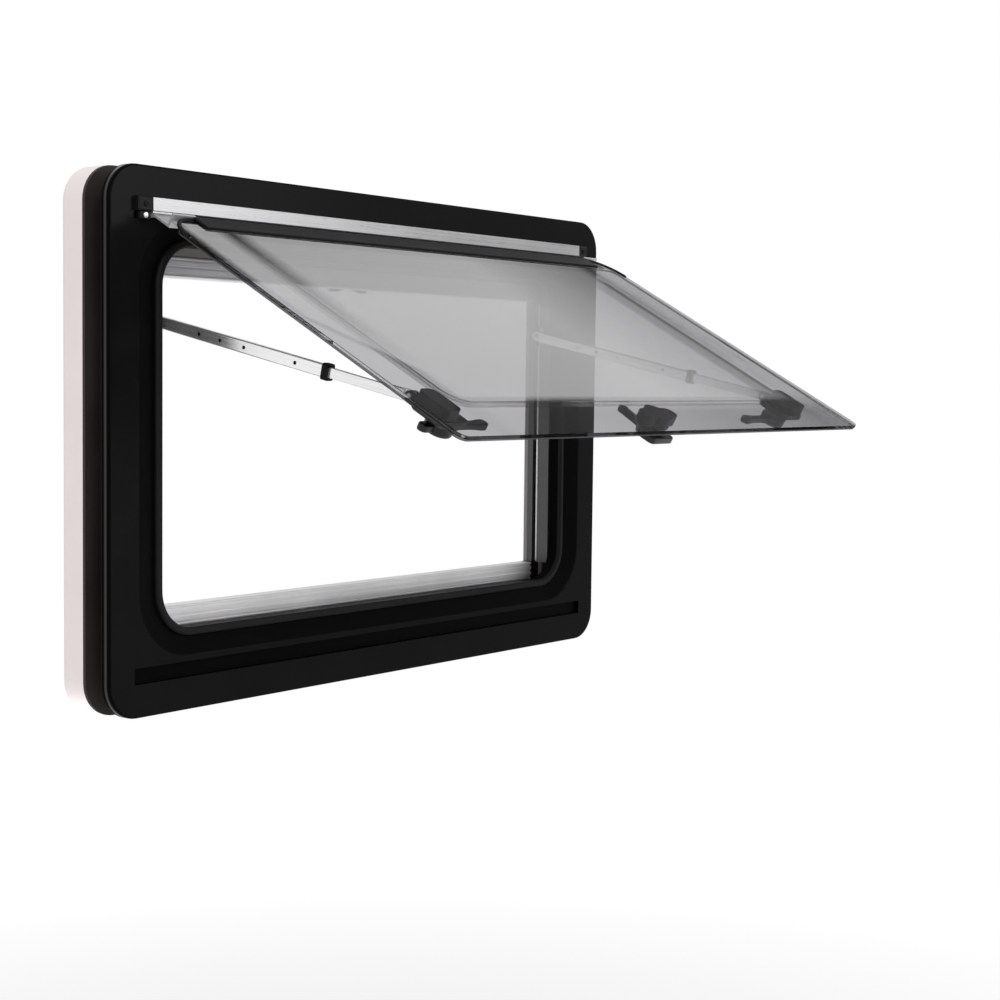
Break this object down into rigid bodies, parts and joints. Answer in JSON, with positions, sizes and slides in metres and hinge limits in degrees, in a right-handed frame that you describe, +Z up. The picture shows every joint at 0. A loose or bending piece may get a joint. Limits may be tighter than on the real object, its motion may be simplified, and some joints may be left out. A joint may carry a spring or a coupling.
{
  "type": "top-hung caravan window",
  "caption": "Top-hung push-out caravan window: black outer frame, smoke-grey double acrylic pane held open on telescopic stays, turning latches, white inner trim with retracted roller blinds.",
  "frame": {"origin": "on the back face of the outer flange, in the middle of the flange strip below the wall cut-out", "axes": "+Z up, +X to the right seen from outside, +Y through the wall to the inside"},
  "size_m": [0.94, 0.5156, 0.6],
  "materials": {
    "black_frame": "gloss moulded",
    "black_clamp": "matt moulded",
    "seal_rubber": "matt",
    "rail_aluminium": "satin anodised",
    "white_trim": "satin",
    "black_fittings": "satin",
    "grey_guide": "satin",
    "smoke_acrylic": "clear smoke tint",
    "stay_metal": "satin",
    "black_latch": "satin gloss"
  },
  "bodies": {
    "frame": {"bar_cap_bottom_left": "black_fittings", "bar_cap_bottom_right": "black_fittings", "bar_cap_top_left": "black_fittings", "bar_cap_top_right": "black_fittings", "blind_bar_bottom": "rail_aluminium", "blind_bar_top": "rail_aluminium", "blind_catch": "black_fittings", "blind_guide_left": "grey_guide", "blind_guide_right": "grey_guide", "cassette_cover_bottom": "white_trim", "cassette_cover_top": "white_trim", "clamp_frame": "black_clamp", "hinge_cap_left": "black_fittings", "hinge_cap_right": "black_fittings", "hinge_rail": "rail_aluminium", "inner_trim": "white_trim", "latch_base_centre": "black_latch", "latch_base_left": "black_latch", "latch_base_right": "black_latch", "opening_seal": "seal_rubber", "outer_frame": "black_frame", "pane_inner": "smoke_acrylic", "pane_outer": "smoke_acrylic", "pane_top_seal": "seal_rubber", "sash_rail": "rail_aluminium", "stay_collar_left": "black_fittings", "stay_collar_right": "black_fittings", "stay_pivot_left": "black_fittings", "stay_pivot_right": "black_fittings", "stay_rod_left": "stay_metal", "stay_rod_right": "stay_metal", "stay_tube_left": "stay_metal", "stay_tube_right": "stay_metal", "wall_sleeve": "black_frame"},
    "lever_left": {"latch_lever_left": "black_latch"},
    "lever_centre": {"latch_lever_centre": "black_latch"},
    "lever_right": {"latch_lever_right": "black_latch"}
  },
  "joints": [
    {"name": "latch_left_turn", "type": "hinge", "parent": "frame", "child": "lever_left", "pos_m": [-0.353, -0.36613, 0.32005], "axis": [0, 0.4848, -0.8746], "range_deg": [0, 90]},
    {"name": "latch_right_turn", "type": "hinge", "parent": "frame", "child": "lever_right", "pos_m": [0.353, -0.36613, 0.32005], "axis": [0, -0.4848, 0.8746], "range_deg": [0, 90]},
    {"name": "latch_centre_turn", "type": "hinge", "parent": "frame", "child": "lever_centre", "pos_m": [0, -0.39627, 0.31049], "axis": [0, -0.4848, 0.8746], "range_deg": [-55, 35]}
  ]
}
